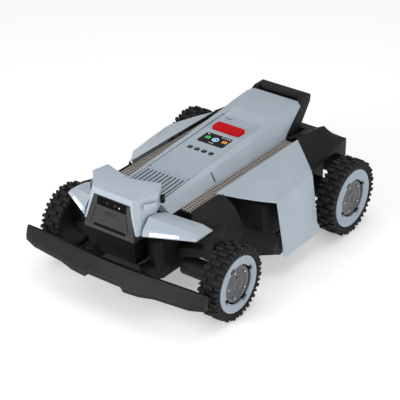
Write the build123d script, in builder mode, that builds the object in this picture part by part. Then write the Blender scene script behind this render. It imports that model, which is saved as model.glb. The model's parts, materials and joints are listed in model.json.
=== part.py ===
"""Robotic lawn mower: steered front wheels, faceted covers, sprung bumper and a lifting cutting deck.

Millimetres, +Z up, the front of the machine faces -Y and +X is the machine's own left.
The origin is on the ground, under the middle of the overall length and width.
Distances along the machine are measured rearwards from the front axle and go through along().
"""
import os
from math import cos, radians, sin

from build123d import *

# ---------------------------------------------------------------- driving dimensions
WHEELBASE = 530.0
WHEEL_CENTRE_X = 256.0          # half of the track
TYRE_WIDTH = 58.0
FRONT_RADIUS = 100.0
REAR_RADIUS = 107.0
LUG_HEIGHT = 6.0
LUG_ROWS = 20
RIM_SHARE = 0.765               # rim radius over tyre radius
HUB_RADIUS = 49.0
RIM_LIP_RADIUS = 54.0
SHAFT_RADIUS = 8.0
KINGPIN_X = 207.0
KINGPIN_RADIUS = 9.0

BUMPER_REACH = 183.0            # front axle to the foremost lip
BUMPER_HALF_WIDTH = 288.0
BUMPER_TOP = 139.0
BUMPER_TRAVEL = 6.0

SPINE_HALF = 65.0               # centre strip between the seams of the hood
PANEL_TILT = 3.5                # degrees, rising to the rear
PANEL_THICK = 2.6
PANEL_LENGTH = 324.0
LOUVRE_LENGTH = 128.0
HOOD_WALL = 3.0
SADDLE_X = 239.0                # fold between the saddle's roof and its side
SADDLE_FOOT_X = 262.0
COVER_WALL = 3.0

BUTTON_LENGTH = 89.0
BUTTON_WIDTH = 34.0
BUTTON_TRAVEL = 4.0
KEY_SIZE = 13.0
KEY_PITCH = 22.6
KEY_TRAVEL = 1.0
DISPLAY_WIDTH = 84.0
DISPLAY_DEPTH = 52.0

DISC_RADIUS = 86.0
DISC_CENTRE_X = 106.0
DISC_BEHIND = 290.0
CUT_HEIGHT_TOP = 62.0           # blade height above the ground with the deck raised
DECK_TRAVEL = 40.0
BLADE_LENGTH = 38.0
BLADE_WIDTH = 18.0
BLADES_PER_DISC = 3

GAP = 0.4                       # between neighbouring covers
SEAM = 1.2                      # open seam round the centre strip
FIT = 0.05                      # radial running clearance

# ---------------------------------------------------------------- derived places
FRONT_AXLE_Y = -(WHEELBASE + REAR_RADIUS - BUMPER_REACH) / 2
REAR = WHEELBASE


def along(distance):
    """Y of a point a given distance behind the front axle."""
    return FRONT_AXLE_Y + distance


def across(distance):
    """Plane square to the length, with x to the side and z up."""
    return Plane.XZ.offset(-along(distance))


def beside(x):
    """Plane at a given x, with y rearwards and z up."""
    return Plane.YZ.offset(x)


def shifted(outline):
    """Outline given as (distance behind the front axle, height), moved into the frame."""
    return [(along(distance), height) for distance, height in outline]


def loft_across(stations):
    """Straight-sided solid through (x, z) outlines at distances behind the front axle."""
    with BuildPart() as solid:
        for distance, outline in stations:
            with BuildSketch(across(distance)):
                with BuildLine():
                    Polyline(*outline, close=True)
                make_face()
        loft(ruled=True)
    return solid.part


def loft_sideways(stations):
    """Straight-sided solid through (distance, z) outlines at given x."""
    with BuildPart() as solid:
        for x, outline in stations:
            with BuildSketch(beside(x)):
                with BuildLine():
                    Polyline(*shifted(outline), close=True)
                make_face()
        loft(ruled=True)
    return solid.part


def loft_upwards(stations):
    """Straight-sided solid through (x, distance) outlines at given heights."""
    with BuildPart() as solid:
        for height, outline in stations:
            with BuildSketch(Plane.XY.offset(height)):
                with BuildLine():
                    Polyline(*[(x, along(distance)) for x, distance in outline], close=True)
                make_face()
        loft(ruled=True)
    return solid.part


def both_sides(outline):
    """Closed outline from its right half, listed from the bottom middle upwards."""
    return outline + [(-x, z) for x, z in reversed(outline)]


def box(x0, x1, d0, d1, z0, z1):
    """Box between two x, two distances behind the front axle and two heights."""
    return Pos((x0 + x1) / 2, along((d0 + d1) / 2), (z0 + z1) / 2) * Box(
        x1 - x0, d1 - d0, z1 - z0, mode=Mode.PRIVATE)


def cylinder_x(x0, x1, distance, height, radius):
    """Cylinder lying along X."""
    place = Pos((x0 + x1) / 2, along(distance), height) * Rot(0, 90, 0)
    return place * Cylinder(radius, abs(x1 - x0), mode=Mode.PRIVATE)


def cylinder_z(x, distance, z0, z1, radius):
    """Upright cylinder."""
    return Pos(x, along(distance), (z0 + z1) / 2) * Cylinder(radius, z1 - z0, mode=Mode.PRIVATE)


def cut_plane(point, second, third):
    """Plane through three (x, distance, z) points."""
    corners = [Vector(x, along(distance), z) for x, distance, z in (point, second, third)]
    normal = (corners[1] - corners[0]).cross(corners[2] - corners[0]).normalized()
    return Plane(origin=corners[0], x_dir=(corners[1] - corners[0]).normalized(), z_dir=normal)


os.makedirs("parts", exist_ok=True)
names = []


def save(part, name):
    """Label a finished piece and write its STEP file."""
    part.label = name
    export_step(part, f"parts/{name}.step")
    names.append(name)


SIDES = (("left", 1), ("right", -1))

# ---------------------------------------------------------------- chassis tub
TUB_LOW = 90.0
TUB_TOP = 196.0
TUB_NOSE = -94.0
TUB_HALF = 106.0
POD_START = 215.0
POD_HALF = 205.0
POD_END = REAR - 138
TAIL_HALF = 150.0
TAIL_END = REAR + 72
TUB_WALL = 3.0
COLLAR_HALF = 101.0
COLLAR_FRONT = -5.0
COLLAR_END = REAR - 62
RAIL_TOP = 254.0
RAIL_OUT = 138.0
AXLE_HALF_DEPTH = 17.0
AXLE_LOW = 128.0
AXLE_HIGH = 152.0

tub_half = [
    (TUB_HALF - 10, TUB_NOSE),
    (TUB_HALF, TUB_NOSE + 20),
    (TUB_HALF, POD_START - 2),
    (POD_HALF, POD_START),
    (POD_HALF, POD_END),
    (TAIL_HALF, POD_END + 6),
    (TAIL_HALF, TAIL_END - 15),
    (TAIL_HALF - 15, TAIL_END),
]
tub_plan = tub_half + [(-x, distance) for x, distance in reversed(tub_half)]
DECK_HALF_X = DISC_CENTRE_X + DISC_RADIUS + 6
MOTOR_RADIUS = 30.0
POST_RADIUS = 5.0
POST_X = 40.0
SCREW_RADIUS = 6.0
NUT_TUBE_RADIUS = 10.0

with BuildPart() as tub:
    with BuildSketch(Plane.XY.offset(TUB_LOW)):
        with BuildLine():
            Polyline(*[(x, along(distance)) for x, distance in tub_plan], close=True)
        make_face()
    extrude(amount=TUB_TOP - TUB_LOW)
    with BuildSketch(Plane.XY.offset(TUB_LOW + TUB_WALL)):
        with BuildLine():
            Polyline(*[(x, along(distance)) for x, distance in tub_plan], close=True)
        make_face()
        offset(amount=-TUB_WALL)
    extrude(amount=TUB_TOP - TUB_LOW - 2 * TUB_WALL, mode=Mode.SUBTRACT)
    add(box(-COLLAR_HALF + TUB_WALL, COLLAR_HALF - TUB_WALL, COLLAR_FRONT + TUB_WALL,
            COLLAR_END - TUB_WALL, TUB_TOP - TUB_WALL - 1, TUB_TOP + 1), mode=Mode.SUBTRACT)
    add(box(-COLLAR_HALF, COLLAR_HALF, COLLAR_FRONT, COLLAR_END, TUB_TOP - 1, RAIL_TOP))
    add(box(-COLLAR_HALF + TUB_WALL, COLLAR_HALF - TUB_WALL, COLLAR_FRONT + TUB_WALL,
            COLLAR_END - TUB_WALL, TUB_TOP - TUB_WALL, RAIL_TOP + 1), mode=Mode.SUBTRACT)
    for side in (1, -1):
        rail_in = side * (COLLAR_HALF - 1)
        rail_out = side * RAIL_OUT
        add(box(min(rail_in, rail_out), max(rail_in, rail_out), COLLAR_FRONT, COLLAR_END,
                RAIL_TOP - TUB_WALL, RAIL_TOP))
        add(box(*sorted((side * (TUB_HALF - 20), side * (TUB_HALF + 5))), -AXLE_HALF_DEPTH - GAP,
                AXLE_HALF_DEPTH + GAP, AXLE_LOW - GAP, AXLE_HIGH + GAP), mode=Mode.SUBTRACT)
        add(cylinder_z(side * DISC_CENTRE_X, DISC_BEHIND, TUB_LOW - 1, TUB_LOW + TUB_WALL + 1,
                       MOTOR_RADIUS + 4), mode=Mode.SUBTRACT)
        add(cylinder_z(side * POST_X, DISC_BEHIND, TUB_LOW - 1, TUB_LOW + TUB_WALL + 1,
                       POST_RADIUS + 5), mode=Mode.SUBTRACT)
    add(cylinder_z(0, DISC_BEHIND, TUB_LOW - 1, TUB_LOW + TUB_WALL + 1, SCREW_RADIUS + 7),
        mode=Mode.SUBTRACT)
save(tub.part, "chassis_tub")

# ---------------------------------------------------------------- front axle with steering housings
HOUSING_IN = 188.0
HOUSING_OUT = 225.0
HOUSING_TOP = 222.0
HOUSING_LOW = 149.0
HOUSING_FRONT = -20.0
HOUSING_REAR = 40.0
HOUSING_FLAT = 8.0              # half length of the outer face, the rest slopes clear of the steered wheel
ARM_START = 112.0
ARM_RISE = 22.0                 # the axle arms climb outwards to the steering housings

with BuildPart() as front_axle:
    add(box(-ARM_START, ARM_START, -AXLE_HALF_DEPTH, AXLE_HALF_DEPTH, AXLE_LOW, AXLE_HIGH))
    for side in (1, -1):
        arm_root = [(-AXLE_HALF_DEPTH, AXLE_LOW), (AXLE_HALF_DEPTH, AXLE_LOW),
                    (AXLE_HALF_DEPTH, AXLE_HIGH), (-AXLE_HALF_DEPTH, AXLE_HIGH)]
        arm_end = [(distance, height + ARM_RISE) for distance, height in arm_root]
        add(loft_sideways([(side * (ARM_START - 1), arm_root), (side * (HOUSING_IN + 1), arm_end)]))
        housing_plan = [(side * HOUSING_IN, HOUSING_FRONT), (side * (HOUSING_OUT - 7), HOUSING_FRONT),
                        (side * HOUSING_OUT, -HOUSING_FLAT), (side * HOUSING_OUT, HOUSING_FLAT),
                        (side * (HOUSING_OUT - 14), HOUSING_REAR), (side * HOUSING_IN, HOUSING_REAR)]
        add(loft_upwards([(HOUSING_LOW, housing_plan), (HOUSING_TOP, housing_plan)]))
        add(cylinder_z(side * KINGPIN_X, 0, HOUSING_LOW - 1, HOUSING_TOP - 12, KINGPIN_RADIUS + FIT),
            mode=Mode.SUBTRACT)
save(front_axle.part, "front_axle")

# ---------------------------------------------------------------- hood
RIM_SLOPE = 0.075
RIM_Z = 280.0
HOOD_FRONT = -40.0
HOOD_END = REAR + 44
STRIP_IN = 104.0
STRIP_OUT = RAIL_OUT
HOOD_RAKE = 1.4                 # rearward lean of the hood's back edge, per mm of height


def rim_height(distance):
    """Height of the hood beside the centre strip."""
    return RIM_Z + RIM_SLOPE * distance


def hood_half(distance, top_half, skirt_x, skirt_z, inset=0.0, lid=0.0):
    """Right half of the hood's outline, from the skirt to the top."""
    top = rim_height(distance)
    return [
        (skirt_x - inset, skirt_z - (1 if inset else 0)),
        (top_half + 16 - inset, top - 6 - inset),
        (top_half - inset, top - lid),
    ]


def hood_back(height):
    """Distance of the hood's raked rear edge at a height."""
    return HOOD_END - 3 - HOOD_RAKE * (326 - height)


HOOD_STATIONS = [
    (HOOD_FRONT, 66, STRIP_IN - 1, RAIL_TOP + GAP),
    (160, 66, STRIP_IN - 1, RAIL_TOP + GAP),
    (REAR - 122, 68, STRIP_IN - 1, RAIL_TOP + GAP),
    (REAR - 60, 71, STRIP_IN - 3, RAIL_TOP + GAP),
    (REAR - 48, 72, STRIP_IN - 4, 240),
    (HOOD_END, 72, 93, 236),
]
LID_DEPTH = 12.5
PANEL_FRONT = 86.0
panel_origin = Vector(0, along(PANEL_FRONT), rim_height(PANEL_FRONT) - 0.6)
PANEL = Plane(origin=panel_origin, x_dir=(1, 0, 0),
              z_dir=(0, -sin(radians(PANEL_TILT)), cos(radians(PANEL_TILT))))
BUTTON_PLACE = 259.0             # along the panel from its front edge
DISPLAY_PLACE = 198.0
KEY_PLACE = 135.0
RAMP_LENGTH = 40.0

with BuildPart() as hood:
    add(loft_across([(d, both_sides(hood_half(d, t, x, z))) for d, t, x, z in HOOD_STATIONS]))
    add(loft_across([(d + (5 if d == HOOD_FRONT else 0) - (5 if d == HOOD_END else 0),
                      both_sides(hood_half(d, t, x, z, HOOD_WALL, LID_DEPTH)))
                     for d, t, x, z in HOOD_STATIONS]), mode=Mode.SUBTRACT)
    with BuildSketch(PANEL.offset(-PANEL_THICK - 0.2)):
        with Locations((0, (PANEL_LENGTH - LOUVRE_LENGTH) / 2 - 10)):
            Rectangle(2 * SPINE_HALF, PANEL_LENGTH + LOUVRE_LENGTH + 20)
    extrude(amount=40, mode=Mode.SUBTRACT)
    with BuildSketch(Plane.YZ.offset(-SPINE_HALF + 4)):
        with BuildLine():
            Polyline(*shifted([
                (PANEL_FRONT + PANEL_LENGTH - 4, rim_height(PANEL_FRONT + PANEL_LENGTH) - 4.6),
                (PANEL_FRONT + PANEL_LENGTH - 1, rim_height(PANEL_FRONT + PANEL_LENGTH) - 4.8),
                (PANEL_FRONT + PANEL_LENGTH + RAMP_LENGTH, rim_height(REAR - 96) + 0.3),
                (PANEL_FRONT + PANEL_LENGTH + RAMP_LENGTH, 340),
                (PANEL_FRONT + PANEL_LENGTH - 4, 340)]), close=True)
        make_face()
    extrude(amount=2 * SPINE_HALF - 8, mode=Mode.SUBTRACT)
    with BuildSketch(PANEL.offset(-PANEL_THICK - BUTTON_TRAVEL - 5)):
        with Locations((0, BUTTON_PLACE)):
            Rectangle(BUTTON_LENGTH + 8, BUTTON_WIDTH + 8)
    extrude(amount=7)
    with BuildSketch(PANEL.offset(-PANEL_THICK - BUTTON_TRAVEL - 2)):
        with Locations((0, BUTTON_PLACE)):
            Rectangle(BUTTON_LENGTH + 2, BUTTON_WIDTH + 2)
    extrude(amount=30, mode=Mode.SUBTRACT)
    add(loft_sideways([(x, [(hood_back(334), 334), (HOOD_END + 40, 334), (HOOD_END + 40, 222),
                            (hood_back(222), 222)]) for x in (-130, 130)]), mode=Mode.SUBTRACT)
save(hood.part, "hood")

# ---------------------------------------------------------------- control panel strip
with BuildPart() as panel:
    with BuildSketch(PANEL.offset(-PANEL_THICK)):
        with Locations((0, PANEL_LENGTH / 2)):
            RectangleRounded(2 * SPINE_HALF - 2 * SEAM, PANEL_LENGTH - 2 * GAP, 8)
    extrude(amount=PANEL_THICK)
    with BuildSketch(PANEL.offset(-1.3)):
        with Locations((0, DISPLAY_PLACE)):
            RectangleRounded(DISPLAY_WIDTH + 2 * FIT, DISPLAY_DEPTH + 2 * FIT, 6)
    extrude(amount=5, mode=Mode.SUBTRACT)
    with BuildSketch(PANEL.offset(-PANEL_THICK - 1)):
        with Locations((0, BUTTON_PLACE)):
            RectangleRounded(BUTTON_LENGTH + 1.2, BUTTON_WIDTH + 1.2, 8)
        with Locations((0, KEY_PLACE)):
            with GridLocations(KEY_PITCH, 0, 4, 1):
                RectangleRounded(KEY_SIZE + 1, KEY_SIZE + 1, 2.5)
    extrude(amount=10, mode=Mode.SUBTRACT)
save(panel.part, "control_panel")

with BuildPart() as display:
    with BuildSketch(PANEL.offset(-1.3)):
        with Locations((0, DISPLAY_PLACE)):
            RectangleRounded(DISPLAY_WIDTH, DISPLAY_DEPTH, 6)
    extrude(amount=1.6)
save(display.part, "display_window")

with BuildPart() as stop_button:
    with BuildSketch(PANEL.offset(-2)):
        with Locations((0, BUTTON_PLACE)):
            RectangleRounded(BUTTON_LENGTH, BUTTON_WIDTH, 7.5)
    extrude(amount=11)
    fillet(stop_button.faces().sort_by(Axis.Z)[-1].edges(), radius=3.5)
save(stop_button.part, "stop_button")

for number in range(4):
    with BuildPart() as key:
        with BuildSketch(PANEL.offset(KEY_TRAVEL + 0.2 - PANEL_THICK)):
            with Locations(((number - 1.5) * KEY_PITCH, KEY_PLACE)):
                RectangleRounded(KEY_SIZE, KEY_SIZE, 2.2)
        extrude(amount=2.6)
        chamfer(key.faces().sort_by(Axis.Z)[-1].edges(), length=0.5)
    save(key.part, f"key_{number + 1}")

SLOTS = 10
SLOT_PITCH = 12.2
with BuildPart() as louvres:
    with BuildSketch(PANEL.offset(-PANEL_THICK)):
        with Locations((0, -LOUVRE_LENGTH / 2)):
            Rectangle(2 * SPINE_HALF - 2 * SEAM, LOUVRE_LENGTH - 2 * GAP)
        with Locations((0, -LOUVRE_LENGTH / 2 - 1)):
            with GridLocations(SLOT_PITCH, 0, SLOTS, 1):
                Rectangle(5.6, LOUVRE_LENGTH - 16, mode=Mode.SUBTRACT)
    extrude(amount=PANEL_THICK)
save(louvres.part, "louvre_grille")

# ---------------------------------------------------------------- nose
FACE_TOP_Z = 313.0
FACE_LIP_Z = 221.0
CHIN_Z = 147.0
FACE_TOP_HALF = 55.5
FACE_LOW_HALF = 79.0


def face_pod(grow):
    """Black front pod, from the chin up to the camera, grown by a clearance."""
    return loft_upwards([
        (CHIN_Z - grow, [(-71 - grow, -139 - grow), (71 + grow, -139 - grow),
                         (71 + grow, -96 + grow), (-71 - grow, -96 + grow)]),
        (FACE_LIP_Z - 3, [(-FACE_LOW_HALF - grow, -154 - grow), (FACE_LOW_HALF + grow, -154 - grow),
                          (FACE_LOW_HALF + grow, -96 + grow), (-FACE_LOW_HALF - grow, -96 + grow)]),
        (FACE_LIP_Z + 3, [(-FACE_LOW_HALF - grow, -155 - grow), (FACE_LOW_HALF + grow, -155 - grow),
                          (FACE_LOW_HALF + grow, -96 + grow), (-FACE_LOW_HALF - grow, -96 + grow)]),
        (FACE_TOP_Z + grow, [(-FACE_TOP_HALF - grow, -139 - grow), (FACE_TOP_HALF + grow, -139 - grow),
                             (FACE_TOP_HALF + grow, -96 + grow), (-FACE_TOP_HALF - grow, -96 + grow)]),
    ])


NOSE_LOW = 236.0
with BuildPart() as nose:
    add(loft_upwards([
        (NOSE_LOW, [(-84, -148), (84, -148), (88, -132), (88, -48), (-88, -48), (-88, -132)]),
        (282, [(-70, -145), (70, -145), (80, -132), (92, -82), (-92, -82), (-80, -132)]),
    ]))
    add(loft_upwards([
        (281, [(-70, -145), (70, -145), (80, -132), (94, -84), (82, -52), (0, -66), (-82, -52),
               (-94, -84), (-80, -132)]),
        (345, [(-58, -134), (58, -134), (68, -125), (106, -90), (85, -51), (0, -72), (-85, -51),
               (-106, -90), (-68, -125)]),
    ]))
    split(bisect_by=cut_plane((0, -52, 342), (50, -52, 342), (0, -134, 325)), keep=Keep.TOP)
    add(face_pod(GAP), mode=Mode.SUBTRACT)
    add(box(-60, 60, -97, -60, 240, 318), mode=Mode.SUBTRACT)
    add(box(-100, 100, -80, -40, 230, 282.5), mode=Mode.SUBTRACT)
save(nose.part, "nose_shell")

WINDOW_HALF = 46.0
with BuildPart() as face:
    add(face_pod(0))
    add(box(-WINDOW_HALF, WINDOW_HALF, -160, -138, 283, 305), mode=Mode.SUBTRACT)
    add(box(-WINDOW_HALF + 5, WINDOW_HALF - 5, -139, -125, 287, 302), mode=Mode.SUBTRACT)
    add(box(-50, 50, -165, -148.5, 228, 234), mode=Mode.SUBTRACT)
    add(box(-50, 50, -130, -90, 155, 305), mode=Mode.SUBTRACT)
save(face.part, "nose_face")

with BuildPart() as window:
    add(box(-WINDOW_HALF + FIT, WINDOW_HALF - FIT, -141.6, -140.1, 283.1, 304.9))
save(window.part, "camera_window")

with BuildPart() as camera:
    add(box(-34, 34, -129.5, -112, 288, 304))
    for lens_x in (-13, 12):
        with Locations(Plane.XZ.offset(-along(-129.5))):
            with Locations((lens_x, 294.5)):
                Cylinder(5, 5, align=(Align.CENTER, Align.CENTER, Align.MIN))
save(camera.part, "camera_module")

with BuildPart() as contacts:
    for contact_x in (-30, 30):
        add(box(contact_x - 14, contact_x + 14, -150.1, -148.6, 228.5, 233.5))
save(contacts.part, "charging_contacts")

# ---------------------------------------------------------------- lamps and side cameras on the nose
with BuildPart() as lamps:
    for side in (1, -1):
        cheek = Plane(origin=(side * 90.6, along(-106), 305), x_dir=(0.42 * side, 0.907, 0),
                      z_dir=(0.907 * side, -0.42, -0.2))
        with BuildSketch(cheek.offset(1.2)):
            Rectangle(36, 20)
        extrude(amount=1.4)
save(lamps.part, "cheek_lamps")

with BuildPart() as side_cameras:
    for side in (1, -1):
        x_low, x_high = sorted((side * 90.5, side * 98))
        add(box(x_low, x_high, -65, -54, 296, 318))
save(side_cameras.part, "side_cameras")

# ---------------------------------------------------------------- wings
WING_IN = 92.0
WING_TIP = 205.0


def wing_sections(inset):
    """Fore-and-aft outlines of the right wing, from its root to its tip."""
    return [
        (WING_IN - 2 * inset, [(-140 + inset, 236 - inset), (-136 + inset, 254 - inset), (-112, 279 - inset),
                               (-84, 277 - inset), (-46 - inset, 262 - inset), (-46 - inset, 236 - inset)]),
        (180, [(-86 + inset, 230 - inset), (-82 + inset, 243 - inset), (-68, 249 - inset),
               (-44, 250 - inset), (-12 - inset, 243 - inset), (-12 - inset, 230 - inset)]),
        (WING_TIP - inset, [(-71 + inset, 228 - inset), (-69 + inset, 231 - inset), (-60, 234 - inset),
                            (-40, 234 - inset), (-3 - inset, 230 - inset), (-3 - inset, 228 - inset)]),
    ]


with BuildPart() as wing:
    add(loft_sideways(wing_sections(0)))
    add(loft_sideways(wing_sections(3)), mode=Mode.SUBTRACT)
save(wing.part, "wing_left")
save(mirror(wing.part, about=Plane.YZ), "wing_right")

# ---------------------------------------------------------------- saddles between the wheels
SADDLE_TIP = (140.5, 100, 268)
SADDLE_CORNER = (SADDLE_X, 235.5, 214)
SADDLE_FOOT = (SADDLE_FOOT_X, 241, 57)
SADDLE_TAIL = (140.5, REAR - 64, 267)
SADDLE_REAR_CORNER = (SADDLE_X, REAR - 138, 228)
SADDLE_REAR_FOOT = (SADDLE_FOOT_X, REAR - 137, 70)
SADDLE_LOW = 55.0


def saddle_band(crease):
    """Cross outline of the saddle shell for a given crease height."""
    wall = COVER_WALL
    return [
        (SADDLE_TIP[0], SADDLE_TIP[2]),
        (SADDLE_X, crease),
        (SADDLE_FOOT_X, SADDLE_LOW),
        (SADDLE_FOOT_X - wall, SADDLE_LOW),
        (SADDLE_X - wall, crease - wall),
        (SADDLE_TIP[0], SADDLE_TIP[2] - wall),
    ]


def crease_height(distance):
    """Height of the fold along the saddle."""
    run = SADDLE_REAR_CORNER[1] - SADDLE_CORNER[1]
    rise = SADDLE_REAR_CORNER[2] - SADDLE_CORNER[2]
    return SADDLE_CORNER[2] + rise * (distance - SADDLE_CORNER[1]) / run


with BuildPart() as saddle:
    add(loft_across([(d, saddle_band(crease_height(d))) for d in (70, REAR - 40)]))
    split(bisect_by=cut_plane(SADDLE_TIP, SADDLE_CORNER, SADDLE_FOOT), keep=Keep.TOP)
    split(bisect_by=cut_plane(SADDLE_TAIL, SADDLE_REAR_CORNER, SADDLE_REAR_FOOT), keep=Keep.BOTTOM)
save(saddle.part, "saddle_left")
save(mirror(saddle.part, about=Plane.YZ), "saddle_right")

# ---------------------------------------------------------------- mesh strips beside the hood
with BuildPart() as strips:
    for side in (1, -1):
        add(box(*sorted((side * (STRIP_IN + GAP), side * (STRIP_OUT - GAP))), COLLAR_FRONT + 2,
                COLLAR_END - 6, RAIL_TOP, RAIL_TOP + 2.6))
save(strips.part, "mesh_strips")

# ---------------------------------------------------------------- wheel arches behind the front wheels
ARCH_WALL = 3.0
LEDGE_Z = 134.0                 # back edge of the sloping step behind the front wheel
STEP_Z = 107.0                  # its front edge
SKIRT_X = 246.0
SKIRT_LEDGE = (240, 115)        # back edge of the step where it meets the outer skirt
SKIRT_STEP = (203, 92)
SKIRT_LOW = (208, 71)

# plan points of the inner wall at four heights, from front to rear
WALL_LEVELS = [
    (100, [(146, 60), (150, 118), (170, 186)]),
    (LEDGE_Z, [(146, 52), (150, 118), (170, 186)]),
    (214, [(142.5, -5), (145, 104), (161, 150)]),
    (260, [(141.5, -5), (141.5, 97), (153, 113.5)]),
]


def wall_cell(levels, index):
    """One strip of the inner wall, between two neighbouring plan points."""
    sections = []
    for height, line in levels:
        (x0, d0), (x1, d1) = line[index], line[index + 1]
        sections.append((height, [(x0, d0), (x1, d1), (x1 - ARCH_WALL, d1), (x0 - ARCH_WALL, d0)]))
    return loft_upwards(sections)


def sloped_plate(near, far, down):
    """Plate between two fore-and-aft lines at two x, thickened downwards or rearwards."""
    cell = []
    for x, ((d0, z0), (d1, z1)) in (near, far):
        shift = (0, -ARCH_WALL) if down else (ARCH_WALL, 0)
        cell.append((x, [(d0, z0), (d1, z1), (d1 + shift[0], z1 + shift[1]), (d0 + shift[0], z0 + shift[1])]))
    return loft_sideways(cell)


with BuildPart() as arch:
    for lower, upper in zip(WALL_LEVELS, WALL_LEVELS[1:]):
        for index in range(2):
            add(wall_cell([lower, upper], index))
    add(sloped_plate((150, ((119, LEDGE_Z), (112, LEDGE_Z - 6))),
                     (170, ((188, LEDGE_Z), (148, STEP_Z))), True))
    add(sloped_plate((170, ((188, LEDGE_Z), (148, STEP_Z))),
                     (SKIRT_X, (SKIRT_LEDGE, SKIRT_STEP)), True))
    add(sloped_plate((150, ((112, LEDGE_Z - 6), (116, 70))), (170, ((148, STEP_Z), (150, 66))), False))
    add(sloped_plate((170, ((148, STEP_Z), (150, 66))), (SKIRT_X, (SKIRT_STEP, SKIRT_LOW)), False))
    add(loft_sideways([(x, [SKIRT_STEP, SKIRT_LOW, (238, 57), (250, 60), (250, 115), SKIRT_LEDGE])
                       for x in (SKIRT_X - ARCH_WALL, SKIRT_X)]))
save(arch.part, "wheel_arch_left")
save(mirror(arch.part, about=Plane.YZ), "wheel_arch_right")

# ---------------------------------------------------------------- rear body with its fenders
RIDGE_X = 138.0
DECK_EDGE_X = 116.0
SHOULDER_X = 190.0
WELL_HALF = 102.0               # sunken floor that the handle legs stand on
WELL_FLOOR = 223.6
WELL_END = REAR + 36
BODY_BACK = REAR + REAR_RADIUS
BODY_FRONT = COLLAR_END + 3


def shoulder_band(ridge, fold, hem, wall=3.0):
    """Cross outline of one shoulder: deck edge, ridge, sloping side and upright hem."""
    return [
        (DECK_EDGE_X, ridge - 11), (RIDGE_X, ridge), (SHOULDER_X, fold), (SHOULDER_X, hem),
        (SHOULDER_X - wall, hem), (SHOULDER_X - wall, fold - 2), (RIDGE_X, ridge - wall - 1),
        (DECK_EDGE_X, ridge - 11 - wall),
    ]


# distance behind the front axle, then heights of the ridge, the fold and the hem
SHOULDER_STATIONS = [
    (REAR - 130, 280.5, 190, 187),
    (REAR + 50, 256.8, 211.5, 197),
    (REAR + 71, 254, 214, 184),
    (BODY_BACK - 3, 222, 218, 163),
]

with BuildPart() as shoulder:
    add(loft_across([(d, shoulder_band(ridge, fold, hem)) for d, ridge, fold, hem in SHOULDER_STATIONS]))
    split(bisect_by=cut_plane((SADDLE_TAIL[0], SADDLE_TAIL[1] + 1.5, SADDLE_TAIL[2]),
                              (SADDLE_REAR_CORNER[0], SADDLE_REAR_CORNER[1] + 1.5, SADDLE_REAR_CORNER[2]),
                              (SADDLE_REAR_FOOT[0], SADDLE_REAR_FOOT[1] + 1.5, SADDLE_REAR_FOOT[2])), keep=Keep.TOP)
    add(box(0, RIDGE_X + 2, REAR - 140, BODY_FRONT, 200, 300), mode=Mode.SUBTRACT)

with BuildPart() as rear_body:
    for (d0, ridge_0, *_), (d1, ridge_1, *_) in zip(SHOULDER_STATIONS, SHOULDER_STATIONS[1:]):
        add(loft_across([(d, [(-DECK_EDGE_X - 1, z), (DECK_EDGE_X + 1, z), (DECK_EDGE_X + 1, z - 3),
                              (-DECK_EDGE_X - 1, z - 3)])
                         for d, z in ((d0, ridge_0 - 11), (d1, ridge_1 - 11))]))
    add(box(-WELL_HALF, WELL_HALF, REAR - 140, WELL_END, 190, 300), mode=Mode.SUBTRACT)
    add(box(-150, 150, REAR - 140, BODY_FRONT, 190, 300), mode=Mode.SUBTRACT)
    add(box(-WELL_HALF - 3, WELL_HALF + 3, BODY_FRONT, WELL_END + 3, WELL_FLOOR - 3, WELL_FLOOR))
    add(box(-WELL_HALF - 3, WELL_HALF + 3, WELL_END, WELL_END + 3, WELL_FLOOR - 1, 245))
    for side in (1, -1):
        add(box(*sorted((side * WELL_HALF, side * (WELL_HALF + 3))), BODY_FRONT, WELL_END + 3,
                WELL_FLOOR - 1, 246))
    add(shoulder.part)
    add(mirror(shoulder.part, about=Plane.YZ))
    add(loft_across([
        (BODY_BACK - 4, [(-160, 100), (160, 100), (SHOULDER_X - 1, 163), (SHOULDER_X - 1, 217),
                         (-SHOULDER_X + 1, 217), (-SHOULDER_X + 1, 163)]),
        (BODY_BACK - 1, [(-162, 99), (162, 99), (SHOULDER_X, 162), (SHOULDER_X, 218),
                         (-SHOULDER_X, 218), (-SHOULDER_X, 162)]),
    ]))
save(rear_body.part, "rear_body")

# ---------------------------------------------------------------- carrying handle
HANDLE_HALF = 79.0

# height, front and rear distance, inner and outer x of each leg
LEG_STATIONS = [
    (WELL_FLOOR + GAP, COLLAR_END + 8, REAR - 9, 81, 92),
    (257, COLLAR_END + 10.5, REAR + 27, 78, 90),
    (310, hood_back(310) + 2.5, REAR + 84, 70, 82),
    (328, hood_back(328) + 2.5, REAR + 88, 67, HANDLE_HALF),
]

with BuildPart() as handle:
    for side in (1, -1):
        add(loft_upwards([(z, [(side * x_in, front), (side * x_out, front), (side * x_out, rear),
                               (side * x_in, rear)]) for z, front, rear, x_in, x_out in LEG_STATIONS]))
    add(loft_sideways([(x, [(REAR + 60, 328), (REAR + 88, 328), (REAR + 91, 319), (REAR + 82, 306),
                            (REAR + 62, 306), (REAR + 58, 317)]) for x in (-HANDLE_HALF, HANDLE_HALF)]))
    add(loft_sideways([(x, [(hood_back(259) + 1.5, 259), (hood_back(259) + 5.5, 257),
                            (hood_back(322) + 6, 322), (hood_back(322) + 1.5, 322)]) for x in (-80, 80)]))
    add(box(-82, 82, COLLAR_END + 8, COLLAR_END + 11.5, WELL_FLOOR + GAP, 259))
save(handle.part, "carry_handle")

# ---------------------------------------------------------------- inside the tub
with BuildPart() as battery:
    add(box(-88, 88, REAR - 120, REAR - 58, TUB_LOW + TUB_WALL + 0.2, 176))
    add(box(-60, 60, REAR - 119, REAR - 59, 175, 182))
save(battery.part, "battery_pack")

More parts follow.
